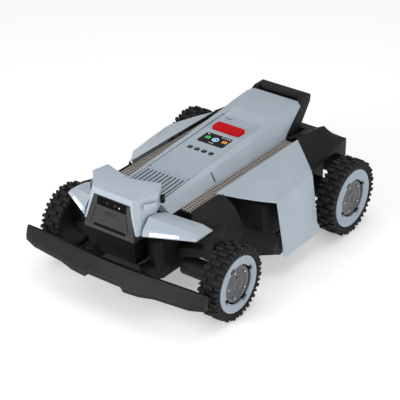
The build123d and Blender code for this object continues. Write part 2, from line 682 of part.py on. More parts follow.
with BuildPart() as board:
    add(box(-70, 70, 60, 160, 150, 151.6))
    for chip_x, chip_y in ((-40, 85), (-5, 100), (35, 120)):
        add(box(chip_x - 12, chip_x + 12, chip_y - 12, chip_y + 12, 151, 156))
    for post_x in (-64, 64):
        for post_y in (66, 154):
            add(cylinder_z(post_x, post_y, TUB_LOW + TUB_WALL + 0.1, 150.5, 4))
save(board.part, "control_board")

BRACKET_LOW = 128.0
BRACKET_HIGH = 134.0
with BuildPart() as bracket:
    add(box(-POST_X - 14, POST_X + 14, DISC_BEHIND - 16, DISC_BEHIND + 16, BRACKET_LOW, BRACKET_HIGH))
    for side in (1, -1):
        add(cylinder_z(side * POST_X, DISC_BEHIND, BRACKET_LOW - 6, BRACKET_HIGH + 6, POST_RADIUS + 4))
        add(cylinder_z(side * POST_X, DISC_BEHIND, BRACKET_LOW - 7, BRACKET_HIGH + 7, POST_RADIUS + FIT),
            mode=Mode.SUBTRACT)
        for leg in (-13, 13):
            add(box(*sorted((side * (POST_X + 9), side * (POST_X + 14))), DISC_BEHIND + leg - 3,
                    DISC_BEHIND + leg + 3, TUB_LOW + TUB_WALL + 0.1, BRACKET_LOW + 1))
    add(box(-20, 20, DISC_BEHIND - 16, DISC_BEHIND + 16, BRACKET_HIGH - 1, 150))
    add(cylinder_z(0, DISC_BEHIND, BRACKET_LOW - 7, 151, NUT_TUBE_RADIUS + 1), mode=Mode.SUBTRACT)
save(bracket.part, "lift_bracket")

with BuildPart() as lift_motor:
    add(box(-20, 20, DISC_BEHIND - 16, DISC_BEHIND + 16, 150.1, 176))
    add(cylinder_z(0, DISC_BEHIND, 149, 170, SCREW_RADIUS + FIT), mode=Mode.SUBTRACT)
    add(cylinder_z(0, DISC_BEHIND, 175, 188, 17))
save(lift_motor.part, "lift_motor")

with BuildPart() as rear_motors:
    for side in (1, -1):
        near, far = sorted((side * (TAIL_HALF + 0.2), side * 226))
        add(cylinder_x(near, far, REAR, REAR_RADIUS, 29))
        near, far = sorted((side * 225, side * 262))
        add(cylinder_x(near, far, REAR, REAR_RADIUS, SHAFT_RADIUS))
save(rear_motors.part, "rear_drive_motors")

# ---------------------------------------------------------------- bumper
BUMPER_GUIDE_X = 84.0
BUMPER_GUIDE_RADIUS = 6.0
BUMPER_GUIDE_Z = 120.0


def bumper_section(top_front, low_front, low, rear_top, rear_low, top=BUMPER_TOP):
    """Fore-and-aft outline of the bumper bar."""
    return [(-rear_low, low), (-low_front, low), (-low_front, low + 12), (-top_front - 3, top - 6),
            (-top_front, top), (-rear_top, top)]


BUMPER_STATIONS = [
    (0, bumper_section(159, 180, 95, 148, 158)),
    (52, bumper_section(158, 180, 95, 147, 157)),
    (62, bumper_section(158, BUMPER_REACH, 86, 147, 157)),
    (108, bumper_section(156, 180, 88, 146, 155)),
    (150, bumper_section(154, 172, 93, 144, 152)),
    (250, bumper_section(147, 160, 93, 137, 139)),
    (BUMPER_HALF_WIDTH, bumper_section(141, 149, 98, 135, 135, 137)),
]

with BuildPart() as bumper:
    for (x0, near), (x1, far) in zip(BUMPER_STATIONS, BUMPER_STATIONS[1:]):
        add(loft_sideways([(x0, near), (x1, far)]))
        add(loft_sideways([(-x1, far), (-x0, near)]))
    for side in (1, -1):
        with BuildSketch(Plane.XZ.offset(-along(-160))):
            with Locations((side * BUMPER_GUIDE_X, BUMPER_GUIDE_Z)):
                Circle(BUMPER_GUIDE_RADIUS)
        extrude(amount=BUMPER_TRAVEL + 3 - TUB_NOSE - 160)
save(bumper.part, "bumper")

with BuildPart() as mounts:
    for side in (1, -1):
        x_low, x_high = sorted((side * (BUMPER_GUIDE_X - 14), side * (BUMPER_GUIDE_X + 14)))
        add(box(x_low, x_high, -120, TUB_NOSE - 0.2, 104, 136))
        add(cylinder_z(side * BUMPER_GUIDE_X, -121, 102, BUMPER_TOP, 16))
        with BuildSketch(Plane.XZ.offset(-along(-139))):
            with Locations((side * BUMPER_GUIDE_X, BUMPER_GUIDE_Z)):
                Circle(BUMPER_GUIDE_RADIUS + FIT)
        extrude(amount=-60, mode=Mode.SUBTRACT)
save(mounts.part, "bumper_mounts")

# ---------------------------------------------------------------- steering knuckles
MOTOR_CASE_IN = 120.0
MOTOR_CASE_OUT = 226.0
MOTOR_CASE_RADIUS = 26.0
for name, side in SIDES:
    with BuildPart() as knuckle:
        add(cylinder_z(side * KINGPIN_X, 0, 140, HOUSING_TOP - 13, KINGPIN_RADIUS))
        add(cylinder_z(side * KINGPIN_X, 0, 122, HOUSING_LOW - 0.3, 18))
        near, far = sorted((side * MOTOR_CASE_IN, side * MOTOR_CASE_OUT))
        add(cylinder_x(near, far, 0, FRONT_RADIUS, MOTOR_CASE_RADIUS))
        near, far = sorted((side * 225, side * 262))
        add(cylinder_x(near, far, 0, FRONT_RADIUS, SHAFT_RADIUS))
    save(knuckle.part, f"steering_knuckle_{name}")

# ---------------------------------------------------------------- wheels
TYRE_IN = WHEEL_CENTRE_X - TYRE_WIDTH / 2
TYRE_OUT = WHEEL_CENTRE_X + TYRE_WIDTH / 2


def tyre_part(side, distance, radius):
    """Tyre with staggered rubber lugs."""
    carcass = radius - LUG_HEIGHT
    rim = radius * RIM_SHARE
    with BuildPart() as tyre:
        with BuildSketch(Plane.YZ.offset(side * WHEEL_CENTRE_X - TYRE_WIDTH / 2)):
            with Locations((along(distance), radius)):
                Circle(carcass)
                Circle(rim + FIT, mode=Mode.SUBTRACT)
        extrude(amount=TYRE_WIDTH)
        for x_mid, width, turn in ((0, 24, 0), (-22, 14, 0.5), (22, 14, 0.5)):
            with BuildSketch(Plane.YZ.offset(side * WHEEL_CENTRE_X + x_mid - width / 2)):
                with Locations((along(distance), radius)):
                    with PolarLocations(carcass + LUG_HEIGHT / 2 - 1, LUG_ROWS,
                                        start_angle=-90 + turn * 360 / LUG_ROWS):
                        Rectangle(LUG_HEIGHT + 2, 10)
            extrude(amount=width)
    return tyre.part


def rim_part(side, distance, radius):
    """Wheel rim: outer ring, face lip and the web that the hub bolts to."""
    rim = radius * RIM_SHARE
    outer_face = side * (TYRE_OUT - 2)
    with BuildPart() as part:
        with BuildSketch(Plane.YZ.offset(outer_face)):
            with Locations((along(distance), radius)):
                Circle(rim)
                Circle(RIM_LIP_RADIUS, mode=Mode.SUBTRACT)
        extrude(amount=-side * 4)
        with BuildSketch(Plane.YZ.offset(outer_face)):
            with Locations((along(distance), radius)):
                Circle(rim)
                Circle(rim - 6, mode=Mode.SUBTRACT)
        extrude(amount=-side * (TYRE_WIDTH - 6))
        with BuildSketch(Plane.YZ.offset(side * 236)):
            with Locations((along(distance), radius)):
                Circle(rim - 5)
                Circle(SHAFT_RADIUS + FIT, mode=Mode.SUBTRACT)
        extrude(amount=side * 5)
    return part.part


def hub_part(side, distance, radius):
    """Round motor housing in the middle of the wheel, with its screw heads and centre cap."""
    with BuildPart() as part:
        with BuildSketch(Plane.YZ.offset(side * 241)):
            with Locations((along(distance), radius)):
                Circle(HUB_RADIUS)
        extrude(amount=side * 37)
        with BuildSketch(Plane.YZ.offset(side * 277)):
            with Locations((along(distance), radius)):
                Circle(17)
                with PolarLocations(38, 5):
                    Circle(3.2)
        extrude(amount=side * 3)
        with BuildSketch(Plane.YZ.offset(side * 241)):
            with Locations((along(distance), radius)):
                Circle(SHAFT_RADIUS + FIT)
        extrude(amount=side * 22, mode=Mode.SUBTRACT)
    return part.part


for end, distance, radius in (("front", 0, FRONT_RADIUS), ("rear", REAR, REAR_RADIUS)):
    for name, side in SIDES:
        save(tyre_part(side, distance, radius), f"tyre_{end}_{name}")
        save(rim_part(side, distance, radius), f"rim_{end}_{name}")
        save(hub_part(side, distance, radius), f"hub_{end}_{name}")

# ---------------------------------------------------------------- cutting deck
DECK_Z = CUT_HEIGHT_TOP + 10
DECK_SKIRT = 10.0               # ends just above the swinging blades
NUT_TOP = 148.0
with BuildPart() as deck:
    with BuildSketch(Plane.XY.offset(DECK_Z)):
        with Locations((0, along(DISC_BEHIND))):
            RectangleRounded(2 * DECK_HALF_X, 2 * DISC_RADIUS + 12, 40)
    extrude(amount=4)
    with BuildSketch(Plane.XY.offset(DECK_Z - DECK_SKIRT)):
        with Locations((0, along(DISC_BEHIND))):
            RectangleRounded(2 * DECK_HALF_X, 2 * DISC_RADIUS + 12, 40)
            RectangleRounded(2 * DECK_HALF_X - 6, 2 * DISC_RADIUS + 6, 37, mode=Mode.SUBTRACT)
    extrude(amount=DECK_SKIRT + 0.5)
    for side in (1, -1):
        add(cylinder_z(side * DISC_CENTRE_X, DISC_BEHIND, DECK_Z - 1, DECK_Z + 6, 12), mode=Mode.SUBTRACT)
    add(cylinder_z(0, DISC_BEHIND, DECK_Z + 3, NUT_TOP, NUT_TUBE_RADIUS))
    add(cylinder_z(0, DISC_BEHIND, DECK_Z - 1, NUT_TOP - 14, SCREW_RADIUS + 1), mode=Mode.SUBTRACT)
    add(cylinder_z(0, DISC_BEHIND, DECK_Z - 1, NUT_TOP + 1, SCREW_RADIUS + FIT), mode=Mode.SUBTRACT)
save(deck.part, "cutting_deck")

with BuildPart() as posts:
    for side in (1, -1):
        add(cylinder_z(side * POST_X, DISC_BEHIND, DECK_Z + 4, BRACKET_HIGH + 10 + DECK_TRAVEL, POST_RADIUS))
        add(cylinder_z(side * POST_X, DISC_BEHIND, DECK_Z + 4, DECK_Z + 9, POST_RADIUS + 4))
save(posts.part, "guide_posts")

with BuildPart() as lift_screw:
    add(cylinder_z(0, DISC_BEHIND, DECK_Z + 6, 169.5, SCREW_RADIUS))
save(lift_screw.part, "lift_screw")

with BuildPart() as motors:
    for side in (1, -1):
        add(cylinder_z(side * DISC_CENTRE_X, DISC_BEHIND, DECK_Z + 4, DECK_Z + 64, MOTOR_RADIUS))
        add(cylinder_z(side * DISC_CENTRE_X, DISC_BEHIND, CUT_HEIGHT_TOP - 1, DECK_Z + 5, 5))
save(motors.part, "cutting_motors")

BLADE_PIVOT = DISC_RADIUS - 12
PIN_RADIUS = 2.5
for name, side in SIDES:
    centre = side * DISC_CENTRE_X
    with BuildPart() as disc:
        add(cylinder_z(centre, DISC_BEHIND, CUT_HEIGHT_TOP, CUT_HEIGHT_TOP + 2.5, DISC_RADIUS - 4))
        add(cylinder_z(centre, DISC_BEHIND, CUT_HEIGHT_TOP + 2, CUT_HEIGHT_TOP + 8, 11))
        add(cylinder_z(centre, DISC_BEHIND, CUT_HEIGHT_TOP - 2, CUT_HEIGHT_TOP + 9, 5 + FIT), mode=Mode.SUBTRACT)
        for number in range(BLADES_PER_DISC):
            angle = radians(90 + number * 360 / BLADES_PER_DISC)
            pin_x = centre + BLADE_PIVOT * cos(angle)
            pin_d = DISC_BEHIND + BLADE_PIVOT * sin(angle)
            add(cylinder_z(pin_x, pin_d, CUT_HEIGHT_TOP - 3.2, CUT_HEIGHT_TOP + 1, PIN_RADIUS))
            add(cylinder_z(pin_x, pin_d, CUT_HEIGHT_TOP - 4.4, CUT_HEIGHT_TOP - 3.1, 5))
    save(disc.part, f"cutting_disc_{name}")
    for number in range(BLADES_PER_DISC):
        turn = 90 + number * 360 / BLADES_PER_DISC
        pin_x = centre + BLADE_PIVOT * cos(radians(turn))
        pin_y = along(DISC_BEHIND) + BLADE_PIVOT * sin(radians(turn))
        place = Plane(origin=(pin_x, pin_y, CUT_HEIGHT_TOP - 2.2), x_dir=(cos(radians(turn - 90)),
                      sin(radians(turn - 90)), 0), z_dir=(0, 0, 1))
        with BuildPart() as blade:
            with BuildSketch(place):
                with Locations((BLADE_LENGTH / 2 - 8, 0)):
                    RectangleRounded(BLADE_LENGTH, BLADE_WIDTH, 2)
                Circle(PIN_RADIUS + FIT, mode=Mode.SUBTRACT)
            extrude(amount=1)
        save(blade.part, f"blade_{name}_{number + 1}")

print(len(names), "pieces")
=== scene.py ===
# %% [markdown]
# # A robotic lawn mower, dressed
# The machine's frame comes from the design: every cover, wheel and lever already sits in its place.
# Here those pieces get what a design model leaves out: the soft edges of moulded covers, treads,
# screws, lamps and icons, and the finishes of painted plastic, rubber and metal.

# %% Load the frame
import json
from math import cos, pi, radians, sin

import bmesh
import bpy
from mathutils import Matrix, Vector


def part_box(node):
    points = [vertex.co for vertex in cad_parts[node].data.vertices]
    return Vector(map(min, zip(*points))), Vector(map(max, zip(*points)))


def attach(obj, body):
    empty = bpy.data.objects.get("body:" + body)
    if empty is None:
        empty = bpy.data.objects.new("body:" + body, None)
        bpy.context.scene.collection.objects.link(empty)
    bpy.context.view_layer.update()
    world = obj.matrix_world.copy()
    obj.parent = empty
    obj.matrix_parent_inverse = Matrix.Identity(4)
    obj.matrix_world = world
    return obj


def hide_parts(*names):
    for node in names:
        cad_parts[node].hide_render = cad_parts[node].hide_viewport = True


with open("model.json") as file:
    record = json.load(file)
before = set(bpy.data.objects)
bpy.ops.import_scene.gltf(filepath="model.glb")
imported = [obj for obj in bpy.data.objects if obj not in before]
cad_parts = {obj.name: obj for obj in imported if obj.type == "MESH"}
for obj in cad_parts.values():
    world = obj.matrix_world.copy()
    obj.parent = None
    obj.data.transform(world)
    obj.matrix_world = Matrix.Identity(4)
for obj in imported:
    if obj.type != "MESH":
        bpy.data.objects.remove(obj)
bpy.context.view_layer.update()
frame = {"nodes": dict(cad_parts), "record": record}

NODES = frame["nodes"]
BODY_OF = {}
for body_name, members in frame["record"]["behaviour"]["bodies"].items():
    for member in members:
        BODY_OF[member] = body_name
SLOT_OF = {row["node"]: row["material_slot"] for row in frame["record"]["subparts"]}
MM = 0.001
SIDES = (("left", 1), ("right", -1))


def middle(node_name):
    """Centre of a node's box."""
    low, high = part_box(node_name)
    return (Vector(low) + Vector(high)) / 2


FRONT_AXLE_Y = middle("tyre_front_left").y

# %% [markdown]
# ## Small tools
# An operator acts on everything that is selected, so each step starts by selecting one piece only.
# Faces are picked by where they are and which way they point, as the eye does on the screen.

# %% Selecting and shaping
def only(piece):
    """Select one piece and make it active."""
    bpy.ops.object.select_all(action="DESELECT")
    piece.select_set(True)
    bpy.context.view_layer.objects.active = piece


def edit(piece):
    """Open a piece in edit mode."""
    only(piece)
    bpy.ops.object.mode_set(mode="EDIT")


def close_edit():
    """Back to object mode."""
    bpy.ops.object.mode_set(mode="OBJECT")


def pick_faces(piece, wanted):
    """In edit mode, select the faces for which wanted(centre, normal) is true."""
    bpy.ops.mesh.select_mode(type="FACE")
    bpy.ops.mesh.select_all(action="DESELECT")
    mesh = bmesh.from_edit_mesh(piece.data)
    for face in mesh.faces:
        face.select_set(bool(wanted(face.calc_center_median(), face.normal)))
    bmesh.update_edit_mesh(piece.data)


def settle(piece, name):
    """Put a piece's place into its mesh and name it."""
    only(piece)
    bpy.ops.object.transform_apply(location=True, rotation=True, scale=True)
    piece.name = name
    return piece


def modify(piece, kind, **settings):
    """Add a modifier with its settings and apply it."""
    modifier = piece.modifiers.new(kind.title(), kind)
    for key, value in settings.items():
        setattr(modifier, key, value)
    only(piece)
    bpy.ops.object.modifier_apply(modifier=modifier.name)


def smooth(piece, angle=32):
    """Shade smoothly, but keep edges sharper than the angle crisp."""
    only(piece)
    bpy.ops.object.shade_smooth_by_angle(angle=radians(angle))


def joined(pieces, name):
    """Join pieces into one object."""
    bpy.ops.object.select_all(action="DESELECT")
    for piece in pieces:
        piece.select_set(True)
    bpy.context.view_layer.objects.active = pieces[0]
    if len(pieces) > 1:
        bpy.ops.object.join()
    pieces[0].name = name
    return pieces[0]


def copy_of(piece, name):
    """A copy with its own mesh."""
    twin = bpy.data.objects.new(name, piece.data.copy())
    bpy.context.collection.objects.link(twin)
    return twin


def block(low, high):
    """A box between two corners, with its place in its mesh."""
    low, high = Vector(low), Vector(high)
    bpy.ops.object.select_all(action="DESELECT")
    bpy.ops.mesh.primitive_cube_add(size=1, location=(low + high) / 2)
    piece = bpy.context.object
    piece.scale = high - low
    return settle(piece, "block")


def barrel(centre, axis, radius, length, sides=48):
    """A cylinder along an axis, with its place in its mesh."""
    bpy.ops.object.select_all(action="DESELECT")
    turn = Vector(axis).to_track_quat("Z", "Y").to_euler()
    bpy.ops.mesh.primitive_cylinder_add(vertices=sides, radius=radius, depth=length,
                                        location=centre, rotation=turn)
    return settle(bpy.context.object, "barrel")


# %% [markdown]
# ## Colours and nodes
# Paint charts give colours as sRGB hex values, while the shader works in linear light.
# One function converts, and one adds a node with its settings and links.

# %% Colour and node tools
def colour(text):
    """Linear RGBA from an sRGB hex value."""
    parts = [int(text[i:i + 2], 16) / 255 for i in (1, 3, 5)]
    linear = [c / 12.92 if c <= 0.04045 else ((c + 0.055) / 1.055) ** 2.4 for c in parts]
    return (*linear, 1.0)


def put(material, kind, inputs=None, **settings):
    """Add a node; inputs gives each socket a value or another node's output."""
    made = material.node_tree.nodes.new(kind)
    for key, value in settings.items():
        setattr(made, key, value)
    for socket, value in (inputs or {}).items():
        if isinstance(value, bpy.types.NodeSocket):
            material.node_tree.links.new(value, made.inputs[socket])
        else:
            made.inputs[socket].default_value = value
    return made


def blank(name):
    """A new material with only its output node."""
    material = bpy.data.materials.new(name)
    material.use_nodes = True
    material.node_tree.nodes.clear()
    return material


def surface(name, light, dark, roughness, grain_mm, bump_mm, metallic=0.0, coat=0.0, patch_mm=90.0,
            spread=0.08, ior=1.5, grain_mix=0.25, stretch=(1, 1, 1)):
    """A finish from its two tones, its grain size and how rough it is."""
    material = blank(name)
    place = put(material, "ShaderNodeTexCoord").outputs["Object"]
    place = put(material, "ShaderNodeMapping", {"Vector": place, "Scale": stretch}).outputs["Vector"]
    patches = put(material, "ShaderNodeTexNoise", {"Vector": place, "Scale": 1000 / patch_mm, "Detail": 5.0,
                                                   "Roughness": 0.6})
    grain = put(material, "ShaderNodeTexNoise", {"Vector": place, "Scale": 1000 / grain_mm, "Detail": 3.0})
    blend = put(material, "ShaderNodeMath", {0: grain.outputs["Fac"], 1: grain_mix, 2: 0.0},
                operation="MULTIPLY_ADD")
    soft = put(material, "ShaderNodeMath", {0: patches.outputs["Fac"], 1: 1.0 - grain_mix,
                                            2: blend.outputs["Value"]}, operation="MULTIPLY_ADD")
    tone = put(material, "ShaderNodeValToRGB", {"Fac": soft.outputs["Value"]})
    tone.color_ramp.elements[0].position = 0.35
    tone.color_ramp.elements[0].color = colour(dark)
    tone.color_ramp.elements[1].position = 0.65
    tone.color_ramp.elements[1].color = colour(light)
    rough = put(material, "ShaderNodeMapRange", {"Value": soft.outputs["Value"], "From Min": 0.3,
                                                 "From Max": 0.7, "To Min": roughness - spread,
                                                 "To Max": roughness + spread})
    bump = put(material, "ShaderNodeBump", {"Height": grain.outputs["Fac"], "Distance": bump_mm * MM,
                                            "Strength": 0.6})
    shader = put(material, "ShaderNodeBsdfPrincipled", {
        "Base Color": tone.outputs["Color"], "Roughness": rough.outputs["Result"],
        "Normal": bump.outputs["Normal"], "Metallic": metallic, "Coat Weight": coat, "IOR": ior})
    put(material, "ShaderNodeOutputMaterial", {"Surface": shader.outputs["BSDF"]})
    return material


# %% [markdown]
# ## Finishes
# The covers are ABS, moulded and painted in a cool blue-grey satin; their bevels get a lighter tone,
# partly thinner paint and handling polish, partly a painted highlight. The lower body is black
# polypropylene with a fine moulded grain. Tyres are natural rubber with dust in the grain, hubs are dark
# painted aluminium.

# %% Make the finishes
PAINTED_ABS = surface("painted_abs_blue_grey", "#a9b4bf", "#a0abb6", 0.42, 0.5, 0.02, coat=0.12,
                      spread=0.05)
# Lighter tone of the cover paint for bevels and trim: partly wear and thinner paint, partly a painted
# highlight along the edges.
COVER_EDGE_HIGHLIGHT_AND_WEAR = surface("painted_abs_edge_highlight_and_wear", "#bcc6cf", "#adb8c2", 0.34, 0.6, 0.02, coat=0.2,
                       spread=0.05)
BLACK_PP = surface("grained_black_polypropylene", "#1a1a1b", "#121213", 0.58, 0.9, 0.08, spread=0.08,
                   ior=1.32)
# Lighter grey for the bevels of black plastic: partly polish from wear, partly a painted highlight along
# the edges.
BLACK_EDGE_HIGHLIGHT_AND_POLISH = surface("polypropylene_edge_highlight_and_polish", "#343436", "#262628", 0.42, 0.9, 0.05, spread=0.06,
                     ior=1.4)
NOSE_PP = surface("satin_black_front_plastic", "#2b2b2c", "#212122", 0.40, 0.8, 0.04, spread=0.06, ior=1.4)
RUBBER = surface("dusty_natural_rubber", "#202020", "#101010", 0.8, 1.2, 0.12, patch_mm=35, spread=0.1,
                 ior=1.35)
# Lighter rubber for the bevels of tyre and lugs: partly scuffing, partly a painted highlight along the
# edges.
RUBBER_EDGE_HIGHLIGHT_AND_SCUFF = surface("rubber_edge_highlight_and_scuff", "#3c3b3a", "#292928", 0.82, 1.2, 0.12, patch_mm=30,
                      spread=0.08, ior=1.35)
RIM_ABS = surface("moulded_rim_nylon", "#98a3ae", "#8a95a1", 0.45, 0.6, 0.03, spread=0.06)
# Lighter tone for the rim's bevels and bead: a painted highlight.
RIM_HIGHLIGHT = surface("moulded_rim_highlight", "#b2bcc6", "#a2adb8", 0.4, 0.6, 0.02, spread=0.05)
HUB_METAL = surface("cast_aluminium_dark_lacquer", "#66676a", "#2c2d2f", 0.36, 1.3, 0.06, metallic=0.6,
                    patch_mm=30, spread=0.08, grain_mix=0.75)
HUB_EDGE = surface("bright_machined_bevel", "#8f9092", "#6f7072", 0.28, 0.6, 0.02, metallic=0.9,
                   spread=0.06)
STEEL = surface("ground_steel", "#b9bbbe", "#9da0a3", 0.28, 0.8, 0.02, metallic=1.0, spread=0.08,
                stretch=(1, 1, 0.15))
BLADE_STEEL = surface("sharpened_blade_steel", "#c6c8ca", "#a6a8ab", 0.25, 0.5, 0.02, metallic=1.0,
                      stretch=(1, 0.1, 1))
RED_ABS = surface("red_soft_touch_abs", "#c0060d", "#b2040a", 0.5, 0.5, 0.02, spread=0.05, ior=1.2)
GLOSS = surface("gloss_black_acrylic", "#08080a", "#050506", 0.14, 0.8, 0.0, spread=0.02, ior=1.3)
KEY_BLACK = surface("satin_black_key", "#101011", "#0b0b0c", 0.3, 0.5, 0.02, spread=0.05, ior=1.35)
LAMP_LENS = surface("frosted_polycarbonate", "#b4bec7", "#a9b3bc", 0.26, 0.6, 0.02, coat=0.3, spread=0.05)
BATTERY = surface("battery_case_plastic", "#2c2f33", "#222428", 0.55, 0.8, 0.05)
BOARD = surface("green_solder_mask", "#12603a", "#0c4a2c", 0.35, 0.5, 0.02, coat=0.3)
NICKEL = surface("dark_nickel_contact", "#2a2826", "#1c1b1a", 0.35, 0.6, 0.02, metallic=0.8)
DARK_GAP = surface("unlit_gap_black", "#0a0a0b", "#060606", 0.8, 0.9, 0.02, ior=1.2)
# Blue-grey for the sheet under the grille: painted shade seen through the louvre slots.
LOUVRE_SHADE = surface("louvre_painted_shade_grey", "#4a5866", "#3d4a57", 0.7, 0.9, 0.02, ior=1.3)


# %% [markdown]
# The strips beside the hood are a woven filter cloth: warp and weft wires 5 mm apart. Two wave bands
# across each other give the wires; where both dip, the eye sees the dark opening.

# %% Woven mesh
def woven(name, wire, hole, pitch_mm):
    """Square mesh: pale wires around dark openings."""
    material = blank(name)
    place = put(material, "ShaderNodeTexCoord").outputs["Object"]
    bands = []
    for axis in ("X", "Y"):
        wave = put(material, "ShaderNodeTexWave", {"Vector": place, "Scale": 1000 / pitch_mm / 20 * pi,
                                                   "Distortion": 0.3, "Detail": 1.0}, bands_direction=axis)
        bands.append(wave.outputs["Fac"])
    both = put(material, "ShaderNodeMath", {0: bands[0], 1: bands[1]}, operation="MAXIMUM")
    grime = put(material, "ShaderNodeTexNoise", {"Vector": place, "Scale": 40.0, "Detail": 4.0})
    mixed = put(material, "ShaderNodeMath", {0: grime.outputs["Fac"], 1: 0.35, 2: both.outputs["Value"]},
                operation="MULTIPLY_ADD")
    tone = put(material, "ShaderNodeValToRGB", {"Fac": mixed.outputs["Value"]})
    tone.color_ramp.elements[0].position = 0.75
    tone.color_ramp.elements[0].color = colour(hole)
    tone.color_ramp.elements[1].position = 1.1
    tone.color_ramp.elements[1].color = colour(wire)
    bump = put(material, "ShaderNodeBump", {"Height": both.outputs["Value"], "Distance": 0.6 * MM})
    shader = put(material, "ShaderNodeBsdfPrincipled", {
        "Base Color": tone.outputs["Color"], "Roughness": 0.5, "Metallic": 0.2,
        "Normal": bump.outputs["Normal"]})
    put(material, "ShaderNodeOutputMaterial", {"Surface": shader.outputs["BSDF"]})
    return material


WIRE_PITCH_MM = 5.0
MESH_BRONZE = woven("woven_bronze_mesh", "#a59d95", "#37332f", WIRE_PITCH_MM)


def glow(name, text, strength):
    """A lit surface, such as an icon or a lamp."""
    material = surface(name, text, text, 0.3, 0.8, 0.0, spread=0.02)
    shader = next(n for n in material.node_tree.nodes if n.type == "BSDF_PRINCIPLED")
    shader.inputs["Emission Color"].default_value = colour(text)
    shader.inputs["Emission Strength"].default_value = strength
    return material


WHITE_LIGHT = glow("lit_white_diffuser", "#ffffff", 1.6)
ICON_GREEN = glow("display_green", "#2f9b4e", 0.5)
ICON_BLUE = glow("display_blue", "#9fd0ef", 0.7)
ICON_ORANGE = glow("display_orange", "#d98a2b", 0.5)
ICON_GREY = glow("display_grey", "#c9ced4", 0.5)
GLYPH_GREY = surface("pad_printed_grey", "#858a90", "#787d83", 0.5, 0.5, 0.0)
WINDOW_BLACK = surface("tinted_window_black", "#060607", "#040405", 0.2, 0.8, 0.0, spread=0.02, ior=1.12)
CHIN_BLACK = surface("shadowed_chin_plastic", "#050506", "#030304", 0.5, 0.8, 0.03, ior=1.15)
print("materials:", len(bpy.data.materials))

# %% [markdown]
# ## Which finish goes on which piece
# Pieces whose drawn shape is already right keep it, and only get their finish.

# %% Dress the frame's own pieces
# Each finish is paired with a lighter one for bevel faces: partly wear, partly a painted highlight along
# the edges.
FINISH = {
    "cover_grey": (PAINTED_ABS, COVER_EDGE_HIGHLIGHT_AND_WEAR),
    "body_black": (BLACK_PP, BLACK_EDGE_HIGHLIGHT_AND_POLISH),
    "tyre_rubber": (RUBBER, RUBBER_EDGE_HIGHLIGHT_AND_SCUFF),
    "hub_metal": (HUB_METAL, HUB_EDGE),
    "rim_grey": (RIM_ABS, RIM_HIGHLIGHT),
    "red_button": (RED_ABS, RED_ABS),
    "black_gloss": (GLOSS, GLOSS),
    "lamp_lens": (LAMP_LENS, LAMP_LENS),
    "mesh_bronze": (MESH_BRONZE, MESH_BRONZE),
    "steel": (STEEL, STEEL),
    "blade_steel": (BLADE_STEEL, BLADE_STEEL),
    "battery_black": (BATTERY, BATTERY),
    "circuit_green": (BOARD, BOARD),
    "copper": (NICKEL, NICKEL),
}


def coat(piece, *materials):
    """Give a piece its finishes, first slot first."""
    piece.data.materials.clear()
    for material in materials:
        piece.data.materials.append(material)
    return piece


for node_name, node_object in NODES.items():
    coat(node_object, FINISH[SLOT_OF[node_name]][0])
for number in range(1, 5):
    coat(NODES[f"key_{number}"], KEY_BLACK)
coat(NODES["camera_window"], WINDOW_BLACK)


def mount(piece, body):
    """Fasten a finished piece to a body of the machine."""
    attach(piece, body)
    return piece


# %% [markdown]
# ## Moulded edges
# A moulded cover never ends in a knife edge. A copy of each drawn shell is welded, its flat faces are
# merged, and its folds get a small round. The round has its own lighter finish: partly the thinner paint
# and handling polish of edges, partly a painted highlight that draws a thin line of light.

# %% Round the folds of the drawn covers
SOFT_MM = 8


def soft_fold(piece, wanted, width_mm):
    """Round the edges for which wanted(first end, second end) is true with a wide bevel."""
    edit(piece)
    bpy.ops.mesh.select_mode(type="EDGE")
    bpy.ops.mesh.select_all(action="DESELECT")
    mesh = bmesh.from_edit_mesh(piece.data)
    for edge in mesh.edges:
        edge.select_set(bool(wanted(edge.verts[0].co, edge.verts[1].co)))
    bmesh.update_edit_mesh(piece.data)
    bpy.ops.mesh.bevel(offset=width_mm * MM, segments=6)
    close_edit()


def rounded(node_name, width_mm, fold=18, segments=3, materials=None, soft=None):
    """A copy of a node with rounded folds, standing for it."""
    piece = copy_of(NODES[node_name], f"{node_name}_moulded")
    edit(piece)
    bpy.ops.mesh.select_all(action="SELECT")
    bpy.ops.mesh.remove_doubles(threshold=0.02 * MM)
    bpy.ops.mesh.dissolve_limited(angle_limit=radians(1.5))
    close_edit()
    if soft:
        soft_fold(piece, soft, SOFT_MM)
    coat(piece, *(materials or FINISH[SLOT_OF[node_name]]))
    # Bevel faces take the second, lighter finish: a painted highlight along each fold, together with edge
    # wear.
    modify(piece, "BEVEL", width=width_mm * MM, segments=segments, limit_method="ANGLE",
           angle_limit=radians(fold), material=1, use_clamp_overlap=True, harden_normals=False)
    smooth(piece, 28)
    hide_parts(node_name)
    return mount(piece, BODY_OF[node_name])


ROUNDS = {
    "saddle_left": 1.4, "saddle_right": 1.4, "wing_left": 1.2, "wing_right": 1.2, "nose_shell": 1.6,
    "hood": 1.6, "wheel_arch_left": 1.0, "wheel_arch_right": 1.0, "rear_body": 1.4, "carry_handle": 5.0,
    "bumper": 2.0, "bumper_mounts": 1.2, "front_axle": 3.0, "chassis_tub": 1.2, "nose_face": 1.4,
    "cutting_deck": 1.2, "lift_bracket": 0.8, "lift_motor": 1.0, "cheek_lamps": 0.5, "side_cameras": 1.0,
    "battery_pack": 2.0,
}


CHIN_TOP = 217
CREASE_X = (238.4, 240.0)       # the saddle's fold runs between these x
PLAIN_EDGES = {"nose_face": (NOSE_PP, BLACK_EDGE_HIGHLIGHT_AND_POLISH), "carry_handle": (BLACK_PP, BLACK_PP)}


def saddle_crease(first, second):
    """True for the long outer fold of a saddle: level with the ground, where roof meets side."""
    low, high = CREASE_X
    on_fold = all(low * MM < abs(end.x) < high * MM for end in (first, second))
    return on_fold and abs(first.y - second.y) > 60 * MM


